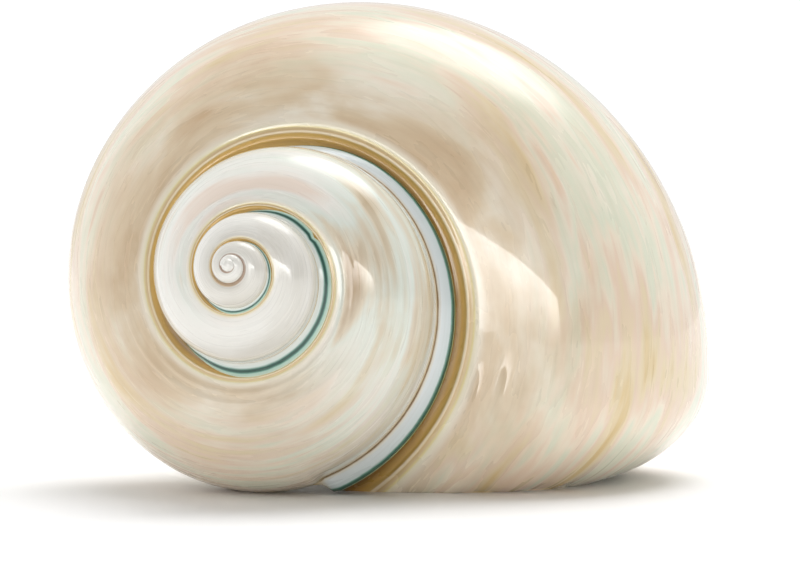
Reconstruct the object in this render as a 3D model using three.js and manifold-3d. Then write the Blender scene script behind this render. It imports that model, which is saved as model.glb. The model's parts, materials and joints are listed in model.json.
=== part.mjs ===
// A polished turban shell that rests on the rim of its aperture, with its spire to the front (-Y).
//
// A snail grows its shell by the same step over and over: each turn repeats the last one, larger by a
// fixed ratio. So the whole outside is one outline, the whorl, swept round the axis of coiling while
// it grows, and the hollow inside is a second, smaller outline swept in the same way. The shell ends
// where the sweep meets the surface that it rests on, which leaves a flat rim round the aperture.
//
// Units are millimetres and degrees. The part's frame has +Z up, with its origin at the middle of
// the base of its bounding box. The growth frame, which the outlines are given in, has its origin at
// the apex and its depth running down the axis of coiling, from the apex to the base.
import * as THREE from "three";
import { mergeVertices } from "three/addons/utils/BufferGeometryUtils.js";
import Module from "manifold-3d";

// Growth: the ratio of each turn to the one before. Turn 0 is where the last whorl is widest.
const GROWTH_PER_TURN = 2.29;
const FIRST_TURN = -4.5;

// The lip is the line where growth stopped. It lands on the surface below where it can, and rises
// from it between the base and the axis, where growth stopped at these turns.
const BASE_LAST_TURN = 0.13;
const AXIS_LAST_TURN = 0.22;

// The outlines at turn 0, each made of four quarter ellipses round a centre: its radius from the
// axis and depth below the apex, then how far it reaches out, in, towards the apex and to the base.
// The quarter between the base and the axis is squarer than an ellipse, whose power is 2.
const WHORL = { radius: 24.4, depth: 54.3, out: 24, in: 23.6, up: 27.7, down: 25 };
const HOLLOW = { radius: 25.2, depth: 54.3, out: 20.4, in: 19.6, up: 22.6, down: 22 };
const BASE_POWER = 2.2;
const HOLLOW_FIRST_TURN = -1.05;
const HOLLOW_PAST_LIP = 0.1;
const HOLLOW_DOME_RINGS = 3;

// The columella is the pillar on the axis. It widens down the spire as a cone, and ends at the base
// in a rounded pad of callus, half an ellipsoid.
const COLUMELLA_TOP = { radius: 0.3, depth: 1 };
const CALLUS = { radius: 17, depth: 48, reach: 29, steps: 12 };

// The nucleus is the bead that the snail hatched with, which closes the tip.
const NUCLEUS_RADIUS = 0.85;
const NUCLEUS_DEPTH = 1.15;

// How the shell rests: turned about its own axis, tipped until the axis is 10 degrees off level,
// and swung so that the spire points a little to the left.
const ROLL = -2;
const TIP = -100.1;
const SWING = -16;

// The lip turns in as it nears the surface below, most on the shell's outer side (+X).
const LIP_HEIGHT = 13.2;
const LIP_REACH = 17.9;
const LIP_CUT = 0.95;
const LIP_FIRST_TURN = -0.25;
const APERTURE_TURN = 0.2;
const RIM_CUT = 3;

// How finely each stretch is faceted: its turns, and its steps along the growth.
const AROUND = 40;
const HOLLOW_AROUND = 28;
const STRETCHES = [
  { from: FIRST_TURN, to: -3.6, steps: 10 },
  { from: -3.6, to: -2.7, steps: 14 },
  { from: -2.7, to: -1.8, steps: 18 },
  { from: -1.8, to: -1, steps: 22 },
  { from: -1, to: -0.35, steps: 20 },
];
const LAST_STRETCH = { from: -0.35, steps: 28 };
const HOLLOW_STEPS = 14;
const HOLLOW_LAST_STEPS = 20;
const LANDING_CROWDING = 1.35;

const FULL_TURN = 2 * Math.PI;

const wasm = await Module();
wasm.setup();

const growth = (turn) => GROWTH_PER_TURN ** turn;

const pose = new THREE.Matrix4()
  .makeRotationZ(THREE.MathUtils.degToRad(SWING))
  .multiply(new THREE.Matrix4().makeRotationX(THREE.MathUtils.degToRad(TIP)))
  .multiply(new THREE.Matrix4().makeRotationZ(THREE.MathUtils.degToRad(ROLL)));

// The point of an outline at a share of the way round it, as radius and depth at turn 0.
function onOutline(outline, share) {
  const across = Math.cos(FULL_TURN * share);
  const down = Math.sin(FULL_TURN * share);
  const power = across < 0 && down > 0 ? 2 / BASE_POWER : 1;
  const reach = Math.sign(across) * Math.abs(across) ** power;
  const drop = Math.sign(down) * Math.abs(down) ** power;
  return {
    radius: outline.radius + reach * (across > 0 ? outline.out : outline.in),
    depth: outline.depth + drop * (down > 0 ? outline.down : outline.up),
  };
}

// A point of the growth frame, grown to its turn and posed.
function grown(turn, { radius, depth }) {
  const angle = FULL_TURN * turn;
  return new THREE.Vector3(radius * Math.cos(angle), radius * Math.sin(angle), depth)
    .multiplyScalar(growth(turn))
    .applyMatrix4(pose);
}

// The height of the surface below, which touches the lowest point of the whorl before the last.
function restingHeight() {
  let lowest = Infinity;
  for (let turn = -0.9; turn <= -0.55; turn += 0.01) {
    for (let share = -0.1; share <= 0.25; share += 0.01) {
      lowest = Math.min(lowest, grown(turn, onOutline(WHORL, share)).z);
    }
  }
  return lowest;
}

const floor = restingHeight();
const apertureCentre = grown(APERTURE_TURN, HOLLOW);

// Turns the last of the whorl in under the shell, along a quarter ellipse.
function turnedIn(point, turn) {
  const near = Math.min(1, 1 - (point.z - floor) / LIP_HEIGHT);
  if (turn < LIP_FIRST_TURN || near <= 0) return point;
  const outwards = new THREE.Vector3().subVectors(point, apertureCentre).setZ(0).normalize();
  const outerSide = (1 + outwards.x) / 2;
  const inwards = LIP_REACH * outerSide * (1 - Math.sqrt(1 - (LIP_CUT * near) ** 2));
  return point.addScaledVector(outwards, -inwards);
}

// The turn at which a place on an outline comes down to the surface below, or stops short of it.
function lipTurn(outline, share, pastLip) {
  const place = onOutline(outline, share);
  const towardsAxis = THREE.MathUtils.clamp((share - 0.25) / 0.25, 0, 1);
  const last =
    pastLip + THREE.MathUtils.lerp(BASE_LAST_TURN, AXIS_LAST_TURN, share < 0.25 ? 1 : towardsAxis);
  const height = (turn) => grown(turn, place).z - floor;
  let low = LIP_FIRST_TURN;
  let high = low;
  while (high < last && height(high) > 0) high = Math.min(last, high + 0.005);
  if (height(high) > 0) return last;
  for (let i = 0; i < 30; i++) {
    const middle = (low + high) / 2;
    if (height(middle) > 0) low = middle;
    else high = middle;
  }
  return high;
}

// One ring of the sweep. The turn may differ from place to place round it.
function ring(outline, turnAt, around) {
  return Array.from({ length: around }, (_, i) => {
    const turn = turnAt(i / around);
    return turnedIn(grown(turn, onOutline(outline, i / around)), turn);
  });
}

// The rings from one turn to another, each at a single turn.
function evenRings(outline, around, { from, to, steps }) {
  return Array.from({ length: steps + 1 }, (_, i) => {
    const turn = THREE.MathUtils.lerp(from, to, i / steps);
    return ring(outline, () => turn, around);
  });
}

// The rings from a single turn to the lip, closer together as they near it, and one more under the
// surface below. Where the lip is well clear of the surface, the one more stays close to it.
function lipRings(outline, around, { from, steps }, pastLip, under) {
  const lip = Array.from({ length: around }, (_, i) => lipTurn(outline, i / around, pastLip));
  const rings = Array.from({ length: steps + 1 }, (_, step) => {
    const along = 1 - (1 - step / steps) ** LANDING_CROWDING;
    const turnAt = (share) =>
      THREE.MathUtils.lerp(from, lip[Math.round(share * around)], along);
    return ring(outline, turnAt, around);
  });
  const below = rings.at(-1).map((point) => {
    const clear = THREE.MathUtils.clamp((point.z - floor) / under, 0, 0.9);
    return point.clone().setZ(point.z - under * (1 - clear));
  });
  return [...rings, below];
}

// A closed solid from rings of equal count, with a fan over each end.
function sweep(rings) {
  const around = rings[0].length;
  const points = rings.flat();
  const faces = [];
  for (let r = 0; r + 1 < rings.length; r++) {
    for (let i = 0; i < around; i++) {
      const a = r * around + i;
      const b = r * around + ((i + 1) % around);
      faces.push(a, b + around, b, a, a + around, b + around);
    }
  }
  for (const [r, flip] of [[0, true], [rings.length - 1, false]]) {
    const middle = points.length;
    const sum = rings[r].reduce((total, p) => total.add(p), new THREE.Vector3());
    points.push(sum.divideScalar(around));
    for (let i = 0; i < around; i++) {
      const a = r * around + i;
      const b = r * around + ((i + 1) % around);
      faces.push(...(flip ? [middle, a, b] : [middle, b, a]));
    }
  }
  const geometry = new THREE.BufferGeometry().setFromPoints(points);
  return solidOf(geometry.setIndex(faces));
}

// A manifold-3d solid of a closed geometry.
function solidOf(geometry) {
  const bare = geometry.clone();
  bare.deleteAttribute("normal");
  bare.deleteAttribute("uv");
  const merged = mergeVertices(bare, 1e-4);
  return new wasm.Manifold(
    new wasm.Mesh({
      numProp: 3,
      vertProperties: merged.attributes.position.array,
      triVerts: new Uint32Array(merged.index.array),
    }),
  );
}

// The geometry of a manifold-3d solid, with flat faces.
function geometryOf(solid) {
  const mesh = solid.getMesh();
  const positions = new THREE.BufferAttribute(new Float32Array(mesh.vertProperties), 3);
  const geometry = new THREE.BufferGeometry().setAttribute("position", positions);
  return geometry.setIndex([...mesh.triVerts]).toNonIndexed();
}

// The outside of the shell.
function whorlSolids() {
  return STRETCHES.map((stretch) => sweep(evenRings(WHORL, AROUND, stretch))).concat(
    sweep(lipRings(WHORL, AROUND, LAST_STRETCH, 0, RIM_CUT)),
  );
}

// The hollow that the animal lived in, rounded off at its inner end.
function hollowSolid() {
  const { from } = LAST_STRETCH;
  const rings = [];
  for (let i = 0; i < HOLLOW_STEPS; i++) {
    const turn = THREE.MathUtils.lerp(HOLLOW_FIRST_TURN, from, i / HOLLOW_STEPS);
    const open = Math.sqrt(1 - (1 - Math.min(1, (i + 0.4) / HOLLOW_DOME_RINGS)) ** 2);
    const outline = { ...HOLLOW };
    for (const side of ["out", "in", "up", "down"]) outline[side] *= open;
    rings.push(ring(outline, () => turn, HOLLOW_AROUND));
  }
  const last = { from, steps: HOLLOW_LAST_STEPS };
  return sweep(
    rings.concat(lipRings(HOLLOW, HOLLOW_AROUND, last, HOLLOW_PAST_LIP, 2 * RIM_CUT)),
  );
}

// The pillar that the whorls wind round.
function columellaSolid() {
  const profile = [new THREE.Vector2(0, COLUMELLA_TOP.depth)];
  profile.push(new THREE.Vector2(COLUMELLA_TOP.radius, COLUMELLA_TOP.depth));
  for (let i = 0; i <= CALLUS.steps; i++) {
    const angle = (i / CALLUS.steps) * (Math.PI / 2);
    const depth = CALLUS.depth + CALLUS.reach * Math.sin(angle);
    const radius = i < CALLUS.steps ? CALLUS.radius * Math.cos(angle) : 0;
    profile.push(new THREE.Vector2(radius, depth));
  }
  const lathe = new THREE.LatheGeometry(profile, 36).rotateX(Math.PI / 2);
  return solidOf(lathe.applyMatrix4(pose));
}

function nucleusSolid() {
  const bead = new THREE.SphereGeometry(NUCLEUS_RADIUS, 14, 8).translate(0, 0, NUCLEUS_DEPTH);
  return solidOf(bead.applyMatrix4(pose));
}

// Everything above the surface that the shell rests on.
function spaceAbove() {
  const size = 400;
  return solidOf(new THREE.BoxGeometry(size, size, size).translate(0, 0, floor + size / 2));
}

function shellMesh() {
  const outside = whorlSolids()
    .concat(columellaSolid(), nucleusSolid())
    .reduce((all, one) => all.add(one));
  // Pockets sealed between the whorls come as bodies of their own, and are left out, so solid.
  const bodies = outside.intersect(spaceAbove()).subtract(hollowSolid()).decompose();
  const solid = bodies.reduce((most, one) => (one.volume() > most.volume() ? one : most));
  const geometry = geometryOf(solid);
  geometry.computeBoundingBox();
  const middle = geometry.boundingBox.getCenter(new THREE.Vector3());
  geometry.translate(-middle.x, -middle.y, -geometry.boundingBox.min.z);
  geometry.computeVertexNormals();
  const nacre = new THREE.MeshStandardMaterial({
    color: 0xe9dcc6,
    roughness: 0.25,
    metalness: 0.1,
  });
  const mesh = new THREE.Mesh(geometry, nacre);
  mesh.name = "shell";
  return mesh;
}

const turbanShell = new THREE.Group();
turbanShell.add(shellMesh());

export default turbanShell;
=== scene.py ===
"""A polished pearl turban shell, lying on the rim of its aperture with its spire to the front.

The shell is grown, as the CAD model of it is: one outline is swept round the axis of coiling while
it gets larger by a fixed ratio a turn. Here the sweep is fine enough for the relief along the seam
between the whorls, and each corner of the mesh carries its place on the growing shell, which the
nacre's colours follow. Lengths are millimetres in the growth, and metres in Blender.
"""

import json
import math

import bmesh
import bpy
import numpy as np
from mathutils import Matrix, Vector

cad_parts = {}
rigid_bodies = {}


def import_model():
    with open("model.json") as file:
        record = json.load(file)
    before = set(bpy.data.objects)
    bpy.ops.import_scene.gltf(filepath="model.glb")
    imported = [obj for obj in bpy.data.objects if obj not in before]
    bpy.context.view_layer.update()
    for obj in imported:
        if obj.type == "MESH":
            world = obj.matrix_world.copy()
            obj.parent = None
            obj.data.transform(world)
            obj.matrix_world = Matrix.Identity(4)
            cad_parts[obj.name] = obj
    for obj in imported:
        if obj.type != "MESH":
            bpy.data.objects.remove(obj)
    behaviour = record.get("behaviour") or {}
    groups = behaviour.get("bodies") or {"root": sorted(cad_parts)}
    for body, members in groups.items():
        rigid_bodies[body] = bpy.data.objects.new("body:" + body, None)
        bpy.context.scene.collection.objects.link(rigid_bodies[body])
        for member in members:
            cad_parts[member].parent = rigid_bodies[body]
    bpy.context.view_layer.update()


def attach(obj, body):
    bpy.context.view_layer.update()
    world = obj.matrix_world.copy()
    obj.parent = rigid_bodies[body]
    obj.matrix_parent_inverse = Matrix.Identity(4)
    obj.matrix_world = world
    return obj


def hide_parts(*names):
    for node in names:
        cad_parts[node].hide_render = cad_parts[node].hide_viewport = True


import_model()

MM = 0.001

# Growth, the outlines at turn 0 and the pose, as in the CAD model.
GROWTH = 2.29
FIRST_TURN = -4.5
BODY_FIRST_TURN = -0.35
WHORL = {"radius": 24.4, "depth": 54.3, "out": 24.0, "in": 23.6, "up": 27.7, "down": 25.0}
HOLLOW = {"radius": 25.2, "depth": 54.3, "out": 20.4, "in": 19.6, "up": 22.6, "down": 22.0}
BASE_POWER = 2.2
HOLLOW_FIRST_TURN = -1.05
ROLL, TIP, SWING = -2.0, -100.1, -16.0
ORIGIN = np.array([20.492, 38.635, -31.401])

# The lip, as in the CAD model.
LIP_HEIGHT = 13.2
LIP_REACH = 17.9
LIP_CUT = 0.95
LIP_FIRST_TURN = -0.25
APERTURE_TURN = 0.2
BASE_LAST_TURN = 0.13
AXIS_LAST_TURN = 0.22

# The seam: its place on the outline, and where a newer whorl no longer covers the older one's.
SEAM_ANGLE = -97.8
LAST_COVERED_TURN = -0.771
COVER_FADE = 0.012

# The length along the outer part of the whorl, from the apex to turn 0.
GROWN_LENGTH = 303.0

# Rings get closer together towards the lip by this power.
LIP_EASE = 1.35
BODY_STEPS = 120

# How far the sweeps go on under the surface that the shell rests on, which then cuts them level.
LIP_BELOW = 3.0
HOLLOW_BELOW = 6.0

# Points nearer together than this are one.
SLIVER = 0.004

# The pillar: a cone from the apex, and a half ellipsoid of callus that ends it.
TIP_RADIUS, TIP_DEPTH = 0.3, 1.0
CALLUS_RADIUS, CALLUS_DEPTH, CALLUS_SWELL = 17.0, 48.0, 29.0

# The bead at the apex.
NUCLEUS_RADIUS, NUCLEUS_DEPTH = 0.85, 1.15

# What each face belongs to, which its corners carry for the nacre.
OUTSIDE, RIM, PILLAR, INSIDE = 0.0, 0.5, 0.75, 1.0


def turn_about(axis, degrees):
    return np.array(Matrix.Rotation(math.radians(degrees), 3, axis))


POSE = turn_about("Z", SWING) @ turn_about("X", TIP) @ turn_about("Z", ROLL)


def on_outline(size, angle):
    """The radius and depth at turn 0 of an outline's places, by their angle in degrees."""
    across, down = np.cos(np.radians(angle)), np.sin(np.radians(angle))
    power = np.where((across < 0) & (down > 0), 2 / BASE_POWER, 1.0)
    reach = np.sign(across) * np.abs(across) ** power
    drop = np.sign(down) * np.abs(down) ** power
    radius = size["radius"] + reach * np.where(across > 0, size["out"], size["in"])
    depth = size["depth"] + drop * np.where(down > 0, size["down"], size["up"])
    return radius, depth


def grown(turn, radius, depth):
    """Places of the growth frame, grown to their turn and posed, in millimetres above ORIGIN."""
    angle = 2 * np.pi * turn
    place = np.stack([radius * np.cos(angle), radius * np.sin(angle), depth + 0 * turn], -1)
    return (place * (GROWTH**turn)[..., None]) @ POSE.T - ORIGIN


def smooth(x, low, high):
    """Rises smoothly from 0 to 1 as x goes from low to high."""
    t = np.clip((x - low) / (high - low), 0, 1)
    return t * t * (3 - 2 * t)


# --- Waves: sums of sines that never repeat over the shell ---------------------------------------


def waves(x, y, seed, count=7):
    """An uneven surface of about unit height that varies over about unit length both ways."""
    rng = np.random.default_rng(seed)
    total = 0 * x * y
    for _ in range(count):
        heading = rng.uniform(0, 2 * np.pi)
        speed = rng.uniform(0.6, 1.6) * 2 * np.pi / 2.2
        phase = rng.uniform(0, 2 * np.pi)
        total = total + np.sin(speed * (x * np.cos(heading) + y * np.sin(heading)) + phase)
    return total / math.sqrt(count)


# --- The outline's length, which places on it are measured along from the seam -------------------

FINE_ANGLES = np.linspace(SEAM_ANGLE - 100, SEAM_ANGLE + 360, 9201)


def lengths_along(size):
    """The distance round the outline from the seam to each of the fine angles."""
    radius, depth = on_outline(size, FINE_ANGLES)
    steps = np.hypot(np.diff(radius), np.diff(depth))
    length = np.concatenate([[0], np.cumsum(steps)])
    return length - np.interp(SEAM_ANGLE, FINE_ANGLES, length)


SEAM_LENGTHS = lengths_along(WHORL)
GIRTH = float(SEAM_LENGTHS[-1])
LENGTH_AT_0 = float(np.interp(0.0, FINE_ANGLES, SEAM_LENGTHS))
LENGTH_AT_20 = float(np.interp(20.0, FINE_ANGLES, SEAM_LENGTHS))
GRID_START = -7.0


# How far apart the places are, by their distance from the seam.
SPACING = [
    (-7, 1.3), (-0.9, 0.4), (-0.3, 0.12), (0.9, 0.14), (3.2, 0.14), (4.0, 0.26), (10, 0.3),
    (14, 1.0), (30, 1.5), (37, 1.5), (41, 0.6), (52, 0.6), (60, 1.5), (200, 1.5),
]


def seam_grid():
    """Distances from the seam round the whorl, close together where there is relief."""
    places, gaps = zip(*SPACING)
    grid = [GRID_START]
    while grid[-1] < GRID_START + GIRTH:
        grid.append(grid[-1] + np.interp(grid[-1], places, gaps))
    return np.array(grid[:-1])


GRID = seam_grid()


# --- Relief on the outside, in millimetres at turn 0 ----------------------------------------------

# Beside the seam, on the newer whorl: a groove, a ridge and two fine lines.
SEAM_RELIEF = [
    (-9, 0.30), (0.7, 0.30), (1.1, 0.0), (1.35, -0.24), (1.75, -0.32), (2.2, -0.26), (2.6, -0.03),
    (2.85, 0.10), (3.05, 0.02), (3.35, -0.07), (3.7, -0.05), (4.0, 0.03), (4.5, 0.02), (5.4, 0.0),
    (200, 0.0),
]
# Beside the seam, on the older whorl, by angle: what the polishing took, a fine line, and then the
# layers that it left.
POLISHED = [
    (-180, 0.0), (-45, 0.0), (-20, -0.35), (-5, -0.85), (1, -0.95), (30, -0.95), (45, 0.0),
    (250, 0.0),
]
LAYERS = [
    (-180, 0.0), (1, 0.0), (2, 0.10), (2.8, -0.20), (3.6, -0.05), (4.4, 0.55), (6, 1.55),
    (9, 3.35), (11, 4.25), (12.5, 4.55), (30, 4.55), (45, 0.0), (250, 0.0),
]


def layers_left(turn):
    """How much of the outer layers is left at the seam: most on the shell's right, none on its left."""
    facing = np.cos(2 * np.pi * (turn - 0.07))
    return smooth(facing, -0.9, 0.35) * (1 + 0.7 * smooth(-turn, 1.5, 1.7))


def relief(turn, length, angle):
    """The height of the relief before the growth scales it, in millimetres at turn 0."""
    size = GROWTH**turn
    along = GROWN_LENGTH * size
    ledge = np.interp(length, *zip(*SEAM_RELIEF))
    covered = 1 - smooth(turn, LAST_COVERED_TURN - COVER_FADE, LAST_COVERED_TURN)
    chipped = smooth(waves(along / 1.6, 0.4 + 0 * along, 21), 1.5, 2.0) * smooth(-turn, 1.4, 1.6)
    left = layers_left(turn) * covered * (1 - 0.25 * chipped)
    layer = np.interp(angle, *zip(*POLISHED)) * np.minimum(left, 1)
    layer = layer + np.interp(angle, *zip(*LAYERS)) * left
    later = smooth(turn, -3.6, -2.6)
    body = smooth(length, 3.5, 12) * (1 - smooth(angle, 100, 140))
    uneven = 0.06 * waves(along / 24, length * size / 17, 3) * body / size
    near_lip = smooth(turn, 0.03, 0.08) * smooth(length, 4, 8) * (1 - smooth(angle, -35, 0))
    ripple = 0.30 * waves(along / 11 + 0.03 * length * size, length * size / 2.4, 11)
    arcs = 0.16 * np.exp(-(((length - 6.3) / 0.5) ** 2))
    arcs = arcs + 0.16 * np.exp(-(((length - 8.8) / 0.65) ** 2))
    arcs = arcs * smooth(turn, -1.15, -1.0) * (1 - smooth(turn, -0.62, -0.5))
    return (ledge + layer) * later + uneven + ripple * near_lip / size + arcs


# --- The lip ---------------------------------------------------------------------------------------


def turned_in(point, turn):
    """Turns the last of the whorl in under the shell, along a quarter ellipse."""
    centre = grown(np.array(APERTURE_TURN), HOLLOW["radius"], HOLLOW["depth"])
    near = np.clip(1 - point[..., 2] / LIP_HEIGHT, 0, 1) * (turn >= LIP_FIRST_TURN)
    away = point - centre
    away[..., 2] = 0
    away /= np.linalg.norm(away, axis=-1, keepdims=True)
    inwards = LIP_REACH * (1 + away[..., 0]) / 2 * (1 - np.sqrt(1 - (LIP_CUT * near) ** 2))
    return point - away * inwards[..., None]


def lip_turns(size, angle, past):
    """The turn at which each place comes down to the surface below, or stops short of it."""
    folded = (angle + 180) % 360 - 180
    share = np.clip((folded - 90) / 90, 0, 1)
    stop = past + np.where(
        folded < 90, AXIS_LAST_TURN, BASE_LAST_TURN + share * (AXIS_LAST_TURN - BASE_LAST_TURN)
    )
    radius, depth = on_outline(size, angle)
    turns = np.linspace(-0.2, AXIS_LAST_TURN + past, 2400)
    height = grown(turns[:, None] + 0 * radius, radius, depth)[..., 2]
    under = (height < 0) & (turns[:, None] <= stop)
    first = under.argmax(0)
    return np.where(under.any(0), turns[first], stop)


def towards_lip(share, lip):
    """Turns from the start of the last stretch to the lip, by the share of the way."""
    return BODY_FIRST_TURN + (1 - (1 - share) ** LIP_EASE) * (lip - BODY_FIRST_TURN)


# --- Sweeps ----------------------------------------------------------------------------------------


def outside_points(turn):
    """The outside of the shell with its relief, at rows of turns for the grid's places."""
    length = GRID + 0 * turn
    angle = np.interp(length, SEAM_LENGTHS, FINE_ANGLES)
    radius, depth = on_outline(WHORL, angle)
    place = grown(turn, radius, depth)
    step = 0.01
    r1, d1 = on_outline(WHORL, angle + step)
    r0, d0 = on_outline(WHORL, angle - step)
    across = grown(turn, r1, d1) - grown(turn, r0, d0)
    along = grown(turn + 1e-4, radius, depth) - grown(turn - 1e-4, radius, depth)
    inward = np.cross(across, along)
    inward /= np.linalg.norm(inward, axis=-1, keepdims=True)
    height = relief(turn, length, angle) * GROWTH**turn
    return turned_in(place - inward * height[..., None], turn)


def plain_points(size, turn, angle, share=1.0):
    """Places on a smooth outline, which can be a share of its full width."""
    shrunk = {k: v * (share if k in ("out", "in", "up", "down") else 1) for k, v in size.items()}
    radius, depth = on_outline(shrunk, angle)
    return turned_in(grown(turn, radius, depth), turn)


def sweep_mesh(name, rings, turn, across, kind, right_handed=False):
    """A closed solid from rings of points. Its corners carry their turn, place across and kind.

    Right-handed rings turn the way of a right-hand screw that goes along the sweep.
    """
    count, around = rings.shape[:2]
    index = np.arange(count * around).reshape(count, around)
    ahead = np.roll(index, -1, axis=1)
    quads = np.stack([index[:-1], ahead[:-1], ahead[1:], index[1:]], -1).reshape(-1, 4)
    if not right_handed:
        quads = quads[:, ::-1]
    points = rings.reshape(-1, 3)
    caps = []
    for row, reverse in ((0, right_handed), (-1, not right_handed)):
        middle = len(points) + len(caps)
        a, b = index[row], ahead[row]
        if reverse:
            a, b = b, a
        caps.append(np.stack([a, b, np.full(around, middle)], -1))
    centres = np.stack([rings[0].mean(0), rings[-1].mean(0)])
    vertices = np.round(np.concatenate([points, centres]), 4) * MM
    faces = [tuple(q) for q in quads.tolist()] + [tuple(f) for f in np.concatenate(caps).tolist()]
    mesh = bpy.data.meshes.new(name)
    mesh.from_pydata(vertices.tolist(), [], faces)
    mesh.validate()
    return write_growth(mesh, turn, across, kind, around, count)


def write_growth(mesh, turn, across, kind, around, count):
    """Writes each corner's turn and place across to a UV map, and its kind to another.

    Where a face closes the ring, its corners in the first column take the place after the last.
    """
    vertex = np.empty(len(mesh.loops), np.int32)
    mesh.loops.foreach_get("vertex_index", vertex)
    turn_at = np.concatenate([turn.ravel(), [turn[0].mean(), turn[-1].mean()]])
    across_at = np.concatenate([np.tile(across[:-1], count), [0, 0]])
    uv = np.stack([turn_at[vertex], across_at[vertex]], -1)
    first_column = (vertex % around == 0) & (vertex < count * around)
    start = np.empty(len(mesh.polygons), np.int32)
    total = np.empty(len(mesh.polygons), np.int32)
    mesh.polygons.foreach_get("loop_start", start)
    mesh.polygons.foreach_get("loop_total", total)
    face_of = np.repeat(np.arange(len(start)), total)
    wraps = np.zeros(len(start), bool)
    np.logical_or.at(wraps, face_of, vertex % around == around - 1)
    closing = first_column & wraps[face_of]
    uv[closing, 1] = across[-1]
    mesh.uv_layers.new(name="growth").uv.foreach_set("vector", uv.astype(np.float32).ravel())
    kinds = np.tile(np.array([kind, 0.5], np.float32), len(vertex))
    mesh.uv_layers.new(name="kind").uv.foreach_set("vector", kinds)
    return mesh


def outside_mesh(name, rings, turn):
    return sweep_mesh(name, rings, turn, np.append(GRID, GRID[0] + GIRTH), OUTSIDE)


def whorl_solid(name, first, last, steps):
    """A stretch of the whorl, with both ends tapered."""
    turn = np.linspace(first, last, steps + 1)[:, None] + 0 * GRID
    return outside_mesh(name, *tapered(*tapered(outside_points(turn), turn, 0), -1))


def body_solid():
    """The last stretch of the whorl, which ends at the lip."""
    lip = lip_turns(WHORL, np.interp(GRID, SEAM_LENGTHS, FINE_ANGLES), 0.0)
    turn = towards_lip(np.linspace(0, 1, BODY_STEPS + 1)[:, None], lip)
    rings, turn = with_ring_below(outside_points(turn), turn, LIP_BELOW)
    return outside_mesh("body", *tapered(rings, turn, 0))


def tapered(rings, turn, end):
    """Adds a smaller ring past one end, which lies inside the stretch that joins on there."""
    step = rings[end] - rings[1 if end == 0 else -2]
    middle = rings[end].mean(0)
    extra = middle + 0.9 * (rings[end] - middle) + 0.6 * step.mean(0)
    pair = (extra[None], rings) if end == 0 else (rings, extra[None])
    turns = (turn[:1], turn) if end == 0 else (turn, turn[-1:])
    return np.concatenate(pair), np.concatenate(turns)


def with_ring_below(rings, turn, under):
    """Adds a ring under the surface below, which stays close to the lip where that is clear."""
    clear = np.clip(rings[-1, :, 2] / under, 0, 0.9)
    below = rings[-1] - np.array([0, 0, 1]) * (under * (1 - clear))[:, None]
    return np.concatenate([rings, below[None]]), np.concatenate([turn, turn[-1:]])


def hollow_solid():
    """The hollow that the animal lived in, rounded off at its inner end."""
    angles = np.linspace(-180, 180, 72, endpoint=False)
    early = np.linspace(HOLLOW_FIRST_TURN, BODY_FIRST_TURN, 60, endpoint=False)
    rings, turns = [], []
    for i, turn in enumerate(early):
        share = math.sqrt(1 - (1 - min(1, (i + 0.4) / 12)) ** 2)
        turn = np.full(len(angles), turn)
        rings.append(plain_points(HOLLOW, turn, angles, share))
        turns.append(turn)
    lip = lip_turns(HOLLOW, angles, 0.1)
    for share in np.linspace(0, 1, 70):
        turn = towards_lip(share, lip)
        rings.append(plain_points(HOLLOW, turn, angles))
        turns.append(turn)
    rings, turns = with_ring_below(np.array(rings), np.array(turns), HOLLOW_BELOW)
    return sweep_mesh("hollow", rings, turns, np.append(angles, 180.0), INSIDE)


def columella_solid():
    """The pillar on the axis, a cone down the spire that ends in a rounded pad of callus."""
    cone = np.linspace(0, 1, 30, endpoint=False)
    swell = np.radians(np.linspace(0, 89.5, 40))
    taper = TIP_RADIUS + (CALLUS_RADIUS - TIP_RADIUS) * cone
    radius = np.concatenate([taper, CALLUS_RADIUS * np.cos(swell)])[:, None]
    fall = TIP_DEPTH + (CALLUS_DEPTH - TIP_DEPTH) * cone
    depth = np.concatenate([fall, CALLUS_DEPTH + CALLUS_SWELL * np.sin(swell)])[:, None]
    angle = np.linspace(0, 2 * np.pi, 96, endpoint=False) - np.pi / 4
    place = np.stack([radius * np.cos(angle), radius * np.sin(angle), depth + 0 * angle], -1)
    turn = np.log(1 + depth / GROWN_LENGTH) / np.log(GROWTH) + 0 * angle
    across = np.linspace(0, 100, len(angle) + 1)
    rings = place @ POSE.T - ORIGIN
    return sweep_mesh("columella", rings, turn, across, PILLAR, right_handed=True)


def nucleus_solid():
    """The bead that the shell starts from."""
    mesh = bpy.data.meshes.new("nucleus")
    bm = bmesh.new()
    bmesh.ops.create_uvsphere(bm, u_segments=32, v_segments=16, radius=NUCLEUS_RADIUS * MM)
    bm.to_mesh(mesh)
    bm.free()
    centre = (np.array([0, 0, NUCLEUS_DEPTH]) @ POSE.T - ORIGIN) * MM
    mesh.transform(Matrix.Translation(Vector(centre)))
    return with_growth(mesh, turn=-4.4, across=20.0, kind=OUTSIDE)


def with_growth(mesh, turn, across, kind):
    """Gives every corner of a mesh the same place on the growing shell."""
    for name, value in (("growth", (turn, across)), ("kind", (kind, 0.5))):
        layer = mesh.uv_layers.new(name=name)
        layer.uv.foreach_set("vector", np.tile(value, len(mesh.loops)).astype(np.float32))
    return mesh


# --- Putting the shell together --------------------------------------------------------------------


def as_object(mesh, collection):
    obj = bpy.data.objects.new(mesh.name, mesh)
    collection.objects.link(obj)
    return obj


def cut_or_join(obj, others, operation):
    """Joins a collection of solids to a solid, or cuts them out of it."""
    modifier = obj.modifiers.new(operation, "BOOLEAN")
    modifier.operation = operation
    modifier.solver = "MANIFOLD"
    modifier.operand_type = "COLLECTION"
    modifier.collection = others


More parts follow.
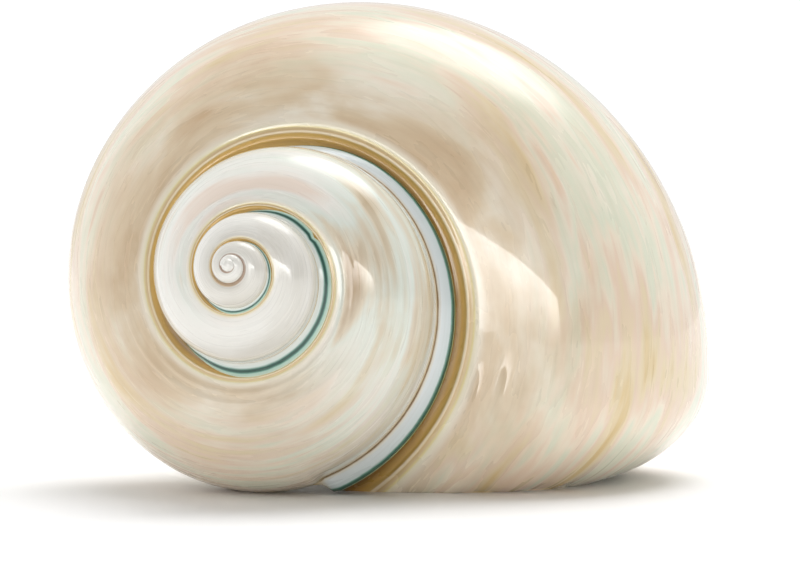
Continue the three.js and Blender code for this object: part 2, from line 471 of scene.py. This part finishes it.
def below_solid():
    """Everything under the surface that the shell rests on."""
    mesh = bpy.data.meshes.new("below")
    corners = [(x, y, z) for z in (-60, 0) for y in (-150, 150) for x in (-150, 150)]
    faces = [(0, 2, 3, 1), (4, 5, 7, 6), (0, 1, 5, 4), (2, 6, 7, 3), (0, 4, 6, 2), (1, 3, 7, 5)]
    mesh.from_pydata([tuple(c * MM for c in p) for p in corners], [], faces)
    return with_growth(mesh, turn=0.2, across=60.0, kind=RIM)


# The stretches of whorl before the last: first turn, last turn and steps.
STRETCHES = [
    (FIRST_TURN, -3.6, 34), (-3.6, -2.7, 50), (-2.7, -1.85, 75), (-1.85, -1.1, 95),
    (-1.1, BODY_FIRST_TURN, 115),
]


def make_shell():
    """Joins the whorls and the pillar, cuts the hollow out of them and cuts the rim level."""
    scene = bpy.context.scene.collection
    joined = bpy.data.collections.new("joined")
    taken = bpy.data.collections.new("taken")
    for collection in (joined, taken):
        scene.children.link(collection)
    for i, (first, last, steps) in enumerate(STRETCHES):
        as_object(whorl_solid(f"whorl_{i}", first, last, steps), joined)
    as_object(columella_solid(), joined)
    as_object(nucleus_solid(), joined)
    as_object(hollow_solid(), taken)
    as_object(below_solid(), taken)
    body = as_object(body_solid(), scene)
    cut_or_join(body, joined, "UNION")
    cut_or_join(body, taken, "DIFFERENCE")
    depsgraph = bpy.context.evaluated_depsgraph_get()
    mesh = bpy.data.meshes.new_from_object(body.evaluated_get(depsgraph))
    for obj in [body, *joined.objects, *taken.objects]:
        bpy.data.objects.remove(obj)
    for collection in (joined, taken):
        bpy.data.collections.remove(collection)
    mesh.name = "turban_shell"
    without_slivers(mesh)
    mesh.shade_smooth()
    return as_object(mesh, scene)


def without_slivers(mesh):
    """Merges points that are almost one, which would show as specks."""
    bm = bmesh.new()
    bm.from_mesh(mesh)
    bmesh.ops.remove_doubles(bm, verts=bm.verts, dist=SLIVER * MM)
    bmesh.ops.dissolve_degenerate(bm, edges=bm.edges, dist=SLIVER * MM)
    bm.to_mesh(mesh)
    bm.free()


shell = make_shell()
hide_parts("shell")
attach(shell, "root")


# --- Nacre -----------------------------------------------------------------------------------------


class Nodes:
    """Builds a material's nodes. Values are sockets or numbers, and colours are hex strings."""

    def __init__(self, material):
        self.tree = material.node_tree
        self.tree.nodes.clear()

    def add(self, kind, inputs=(), output=0, **settings):
        node = self.tree.nodes.new(kind)
        for key, value in settings.items():
            setattr(node, key, value)
        for key, value in dict(inputs).items():
            socket = node.inputs[key]
            if isinstance(value, bpy.types.NodeSocket):
                self.tree.links.new(value, socket)
            else:
                socket.default_value = value
        return node.outputs[output] if len(node.outputs) else None

    def math(self, operation, a, b=0.0):
        return self.add("ShaderNodeMath", {0: a, 1: b}, operation=operation)

    def plus(self, a, b):
        return self.math("ADD", a, b)

    def times(self, a, b):
        return self.math("MULTIPLY", a, b)

    def step(self, value, low, high, bottom=0.0, top=1.0):
        """Rises smoothly from bottom to top as value goes from low to high."""
        inputs = {"Value": value, "From Min": low, "From Max": high, "To Min": bottom, "To Max": top}
        return self.add("ShaderNodeMapRange", inputs, interpolation_type="SMOOTHSTEP")

    def vector(self, x, y, z=0.0):
        return self.add("ShaderNodeCombineXYZ", {0: x, 1: y, 2: z})

    def noise(self, vector, detail=3.0, rough=0.5, distortion=0.0):
        inputs = {
            "Vector": vector, "Scale": 1.0, "Detail": detail, "Roughness": rough,
            "Distortion": distortion,
        }
        return self.add("ShaderNodeTexNoise", inputs)

    def mix(self, share, a, b, blend="MIX"):
        """Mixes two colours."""
        colours = {6: a, 7: b}
        inputs = {0: share}
        for key, value in colours.items():
            inputs[key] = colour(value) if isinstance(value, str) else value
        return self.add(
            "ShaderNodeMix", inputs, output=2, data_type="RGBA", blend_type=blend
        )

    def ramp(self, value, stops, low=0.0, high=1.0):
        """A colour ramp over low to high."""
        scaled = self.add(
            "ShaderNodeMapRange", {"Value": value, "From Min": low, "From Max": high}
        )
        node = self.tree.nodes.new("ShaderNodeValToRGB")
        self.tree.links.new(scaled, node.inputs[0])
        elements = node.color_ramp.elements
        while len(elements) < len(stops):
            elements.new(0.5)
        for element, (place, hex_colour) in zip(elements, stops):
            element.position = (place - low) / (high - low)
            element.color = colour(hex_colour)
        return node.outputs[0]


def colour(hex_colour):
    parts = [int(hex_colour[i : i + 2], 16) / 255 for i in (0, 2, 4)]
    linear = [c / 12.92 if c <= 0.04045 else ((c + 0.055) / 1.055) ** 2.4 for c in parts]
    return (*linear, 1.0)


def nacre_material():
    """Nacre whose colours follow the growth: patches, bands beside the seam, layers, inside."""
    material = bpy.data.materials.new("nacre")
    material.use_nodes = True
    n = Nodes(material)

    growth = n.add("ShaderNodeUVMap", uv_map="growth")
    split = n.add("ShaderNodeSeparateXYZ", {0: growth})
    turn, across = split, split.node.outputs[1]
    kind = n.add("ShaderNodeSeparateXYZ", {0: n.add("ShaderNodeUVMap", uv_map="kind")})
    size = n.math("POWER", GROWTH, turn)
    along = n.times(size, GROWN_LENGTH)
    wide = n.times(across, size)

    # Patches of colour, drawn out along the growth.
    slant = n.plus(across, n.times(along, 0.03))
    patch = n.noise(n.vector(n.times(along, 1 / 30), n.times(slant, 1 / 7.5), 3.1), 2.5, 0.5, 0.35)
    streak = n.noise(n.vector(n.times(along, 1 / 17), n.times(slant, 1 / 2.8), 7.7), 3.0, 0.55, 0.3)
    cloud = n.noise(n.vector(n.times(along, 1 / 22), n.times(wide, 1 / 8), 1.3), 4.0, 0.55, 0.4)
    hue = n.plus(n.times(patch, 0.66), n.times(streak, 0.34))
    pearl = n.ramp(
        hue,
        [
            (0.32, "cba86e"), (0.38, "e2c893"), (0.43, "ecdab6"), (0.47, "eed6bf"),
            (0.51, "f3e6d0"), (0.55, "e3e5ce"), (0.59, "f2ead6"), (0.63, "ecd2bb"),
            (0.69, "e2c68c"),
        ],
        0.25,
        0.75,
    )
    shoulder = n.ramp(cloud, [(0.3, "c6a883"), (0.5, "dac6a8"), (0.7, "ede4d3")])
    reach = n.plus(n.plus(across, n.times(cloud, 12)), n.step(turn, 0.04, 0.16, 0.0, 12.0))
    outer = n.step(reach, 14, 32)
    body = n.mix(outer, shoulder, pearl)

    # The second whorl is paler, and the early ones are porcelain white.
    pale = n.ramp(
        n.plus(n.times(patch, 0.5), n.times(cloud, 0.5)),
        [(0.33, "b59e80"), (0.41, "d9ceb8"), (0.48, "e2ebe3"), (0.57, "f2f0ea"), (0.66, "ecdccf")],
        0.25,
        0.75,
    )
    body = n.mix(n.step(turn, -0.98, -0.68, 0.85, 0.0), body, pale)
    porcelain = n.ramp(cloud, [(0.35, "dad6cc"), (0.55, "e9e7e0")])
    early = n.plus(turn, n.step(across, 0, 30, 0.0, -0.25))
    body = n.mix(n.step(early, -1.9, -1.35, 1.0, 0.0), body, porcelain)

    # The bands beside the seam, on the newer whorl. The groove's gold is its own colour; the darker
    # stops from 1.0 to 1.25 mm, on the scarp down into it, are painted shade.
    wander = n.noise(n.vector(n.times(along, 1 / 3.0), 0.0, 5.0), 3.0, 0.6)
    beside = n.plus(across, n.times(n.plus(wander, -0.5), 0.12))
    band = n.ramp(
        beside,
        [
            (0.0, "a9884e"), (1.0, "8a6a30"), (1.25, "8f6a26"), (1.9, "c29a4e"), (2.5, "c9a763"),
            (2.72, "efe0c2"), (2.95, "e8d5b2"), (3.06, "cfb182"), (3.4, "d9c397"),
            (3.6, "e6d79c"), (3.85, "efe6cc"), (4.6, "f0e7d6"),
        ],
        0.0,
        4.8,
    )
    # Painted light: the groove is painted a paler gold on the shell's upper side, where the light from
    # above falls on it.
    upward = n.math("COSINE", n.times(n.plus(turn, 0.36), 2 * math.pi))
    groove_lit_on_top = n.times(n.step(upward, 0.0, 1.0, 0.0, 0.7), n.step(across, 2.3, 2.7, 1.0, 0.0))
    band = n.mix(groove_lit_on_top, band, "e8bc62")
    band = n.mix(n.step(turn, -3.1, -2.2, 0.0, 1.0), "b39c8c", band)
    band_edge = n.step(turn, -3.2, -2.4, 1.2, 4.0)
    # Where the last whorl meets the surface below, its edge under the seam is pale.
    at_floor = n.times(n.step(turn, 0.08, 0.12), n.step(across, 0.9, 1.05, 1.0, 0.0))
    band = n.mix(at_floor, band, "d3dbda")
    body = n.mix(n.step(n.math("SUBTRACT", across, band_edge), 0.0, 1.6), band, body)

    # The layers that the polishing left on the older whorl. From about 13 degrees on, the ramps' last
    # brown stops are painted shade on the edge-on wall where the newer whorl covers the layers.
    angle = n.add(
        "ShaderNodeMapRange",
        {"Value": across, "From Min": LENGTH_AT_0, "From Max": LENGTH_AT_20, "To Max": 20.0},
        clamp=False,
    )
    layer_place = n.plus(angle, n.times(n.plus(wander, -0.5), 0.8))
    newer_layers_and_wall_shade = n.ramp(
        layer_place,
        [
            (-6.0, "e6d3b0"), (-1.0, "e0c79a"), (0.8, "dcbc84"), (1.8, "ecd9b2"), (2.4, "a87c3e"),
            (2.9, "5f4020"), (3.6, "8f7042"), (4.2, "e4e0d2"), (5.2, "dfe5e6"), (9.1, "d3dede"),
            (9.7, "5f9482"), (10.3, "1f5c49"), (11.5, "17503d"), (12.1, "b9cf9a"), (13.2, "9a8a4c"),
            (15.0, "6f5426"),
        ],
        -6.0,
        16.0,
    )
    older_layers_and_wall_shade = n.ramp(
        layer_place,
        [
            (-6.0, "eee8da"), (-4.0, "e8d2a4"), (-1.0, "dab878"), (1.0, "d9c8a4"), (2.6, "e4e2d8"),
            (5.8, "d3ddd8"), (6.7, "5c8c7c"), (7.2, "1d4a3f"), (8.1, "1d4a3f"), (8.7, "5c9080"),
            (9.3, "a9cabb"), (11.6, "cbdccd"), (12.4, "cfd7a8"), (13.5, "b4954a"), (15.0, "8f7236"),
        ],
        -6.0,
        16.0,
    )
    layers = n.mix(n.step(turn, -1.6, -1.45), older_layers_and_wall_shade, newer_layers_and_wall_shade)
    facing = n.math("COSINE", n.times(n.plus(turn, -0.07), 2 * math.pi))
    covered = n.step(turn, LAST_COVERED_TURN - COVER_FADE, LAST_COVERED_TURN, 1.0, 0.0)
    layered = n.times(n.step(angle, -8.0, 2.0), n.step(angle, 25, 30, 1.0, 0.0))
    layered = n.times(layered, n.step(facing, -0.85, -0.45))
    layered = n.times(layered, covered)
    layered = n.times(layered, n.step(turn, -4.2, -3.4))
    body = n.mix(layered, body, layers)

    # The hollow, the rim and the pillar.
    place = n.add("ShaderNodeTexCoord", output="Object")
    place = n.add("ShaderNodeVectorMath", {0: place, 3: 75.0}, operation="SCALE")
    mottle = n.noise(place, 2.0, 0.5, 0.4)
    fine = n.noise(n.vector(n.times(along, 1 / 12), n.times(across, 1 / 0.7), 4.0), 3.0, 0.6)
    veins = n.ramp(fine, [(0.35, "e4e0d8"), (0.5, "ffffff"), (0.65, "ffffff")])
    body = n.mix(n.step(turn, -1.9, -1.2, 0.0, 0.22), body, n.mix(1.0, body, veins, "MULTIPLY"))
    inside = n.ramp(mottle, [(0.35, "cdc1ab"), (0.52, "e8e0cf"), (0.66, "dbe0d2")])
    body = n.mix(n.step(kind, 0.3, 0.4), body, inside)

    lines = n.noise(n.vector(n.times(along, 1 / 0.9), n.times(across, 1 / 30), 2.0), 2.0, 0.5)
    uneven = n.noise(n.vector(n.times(along, 1 / 9), n.times(wide, 1 / 9), 9.0), 2.0, 0.5)
    height = n.plus(n.times(lines, 0.02), n.times(uneven, 0.12))
    bump = n.add("ShaderNodeBump", {"Strength": 0.6, "Distance": 0.0006, "Height": height})
    shader = n.add(
        "ShaderNodeBsdfPrincipled",
        {
            "Base Color": body,
            "Metallic": 0.06,
            "Roughness": n.step(streak, 0.3, 0.7, 0.22, 0.36),
            "Coat Weight": 1.0,
            "Coat Roughness": 0.02,
            "Coat IOR": 1.5,
            "Sheen Weight": 0.0,
            "Normal": bump,
        },
    )
    n.add("ShaderNodeOutputMaterial", {0: shader})
    return material


shell.data.materials.clear()
shell.data.materials.append(nacre_material())


# --- Floor, lights and camera ----------------------------------------------------------------------


def aimed(obj, place, target):
    """Puts an object at a place and turns it to face another."""
    obj.location = place
    obj.rotation_euler = (Vector(target) - Vector(place)).to_track_quat("-Z", "Y").to_euler()


# The bright patch overhead, by its direction, and the panel in front, whose edges are slopes from
# the shell, sideways and up.
OVERHEAD_TOWARDS = (0.33, 0.40, 0.855)
PANEL_LEFT, PANEL_RIGHT, PANEL_TOP, PANEL_MIDDLE = -0.62, 0.59, 0.24, 0.22
PANEL_BOW = 0.38
PANEL_STRENGTH = 8.5

# The camera, in degrees and metres, and its place beside and below the apex in millimetres.
CAMERA_DOWN = 4.0
CAMERA_AWAY = 0.75
CAMERA_ASIDE = 21.85
CAMERA_BELOW = 3.125

# Half the floor's side, in metres.
FLOOR_REACH = 30.0


def soft_sun(name, place, spread, strength):
    """A wide light from far off, which gives the shell its shadow and has no highlight of its own."""
    data = bpy.data.lights.new(name, "SUN")
    data.angle = math.radians(spread)
    data.energy = strength
    obj = bpy.data.objects.new(name, data)
    bpy.context.scene.collection.objects.link(obj)
    aimed(obj, place, (0, 0, 0))
    obj.visible_glossy = False


def make_floor():
    """A plain pale floor."""
    mesh = bpy.data.meshes.new("floor")
    reach = FLOOR_REACH
    corners = [(-reach, -reach, 0), (reach, -reach, 0), (reach, reach, 0), (-reach, reach, 0)]
    mesh.from_pydata(corners, [], [(0, 1, 2, 3)])
    material = bpy.data.materials.new("floor")
    material.use_nodes = True
    shader = material.node_tree.nodes["Principled BSDF"]
    shader.inputs["Base Color"].default_value = (0.95, 0.95, 0.95, 1)
    shader.inputs["Roughness"].default_value = 0.6
    mesh.materials.append(material)
    floor = as_object(mesh, bpy.context.scene.collection)


def make_world():
    """A white studio, dimmer in front, with a bright patch overhead and a bowed panel in front."""
    world = bpy.data.worlds.new("studio")
    world.use_nodes = True
    n = Nodes(world)
    towards = n.add("ShaderNodeTexCoord", output="Generated")
    split = n.add("ShaderNodeSeparateXYZ", {0: towards}).node
    x, y, z = split.outputs
    room = n.step(y, -0.5, 0.6, 0.28, 1.0)
    top = n.step(z, 0.2, 0.8)
    room = n.plus(n.times(room, n.math("SUBTRACT", 1.0, top)), n.times(top, 0.55))
    nearness = n.add(
        "ShaderNodeVectorMath",
        {0: towards, 1: OVERHEAD_TOWARDS},
        operation="DOT_PRODUCT",
        output=1,
    )
    overhead = n.step(nearness, 0.92, 0.975, 0.0, 2.6)
    left = n.step(x, -0.9, -0.3, 0.5, 0.0)
    ahead = n.times(y, -1.0)
    sideways = n.math("DIVIDE", x, ahead)
    level = n.math("DIVIDE", z, ahead)
    aside = n.plus(sideways, -PANEL_MIDDLE)
    bowed = n.plus(level, n.times(n.times(aside, aside), PANEL_BOW))
    left_edge = n.step(sideways, PANEL_LEFT, PANEL_LEFT + 0.02)
    right_edge = n.step(sideways, PANEL_RIGHT - 0.02, PANEL_RIGHT, 1.0, 0.0)
    fade = n.step(bowed, 0.02, PANEL_TOP - 0.01)
    top_edge = n.step(bowed, PANEL_TOP - 0.01, PANEL_TOP, 1.0, 0.0)
    panel = n.times(n.times(left_edge, right_edge), n.times(fade, top_edge))
    panel = n.times(panel, n.math("LESS_THAN", y, 0.0))
    strength = n.plus(n.plus(room, left), n.plus(overhead, n.times(panel, PANEL_STRENGTH)))
    n.add("ShaderNodeOutputWorld", {0: n.add("ShaderNodeBackground", {"Strength": strength})})
    bpy.context.scene.world = world


def make_camera():
    """Looks at the spire from in front and a little above."""
    elevation = math.radians(CAMERA_DOWN)
    ahead = Vector((0, math.cos(elevation), -math.sin(elevation)))
    up = Vector((0, math.sin(elevation), math.cos(elevation)))
    apex = Vector(-ORIGIN) * MM
    data = bpy.data.cameras.new("camera")
    data.sensor_width = 36
    data.lens = 270
    camera = bpy.data.objects.new("camera", data)
    bpy.context.scene.collection.objects.link(camera)
    place = apex + Vector((CAMERA_ASIDE * MM, 0, 0)) - up * CAMERA_BELOW * MM - ahead * CAMERA_AWAY
    aimed(camera, place, place + ahead)
    bpy.context.scene.camera = camera


make_floor()
make_world()
make_camera()
soft_sun("overhead", (0.12, 0.35, 0.93), 50, 2.0)
bpy.context.scene.view_settings.view_transform = "Standard"
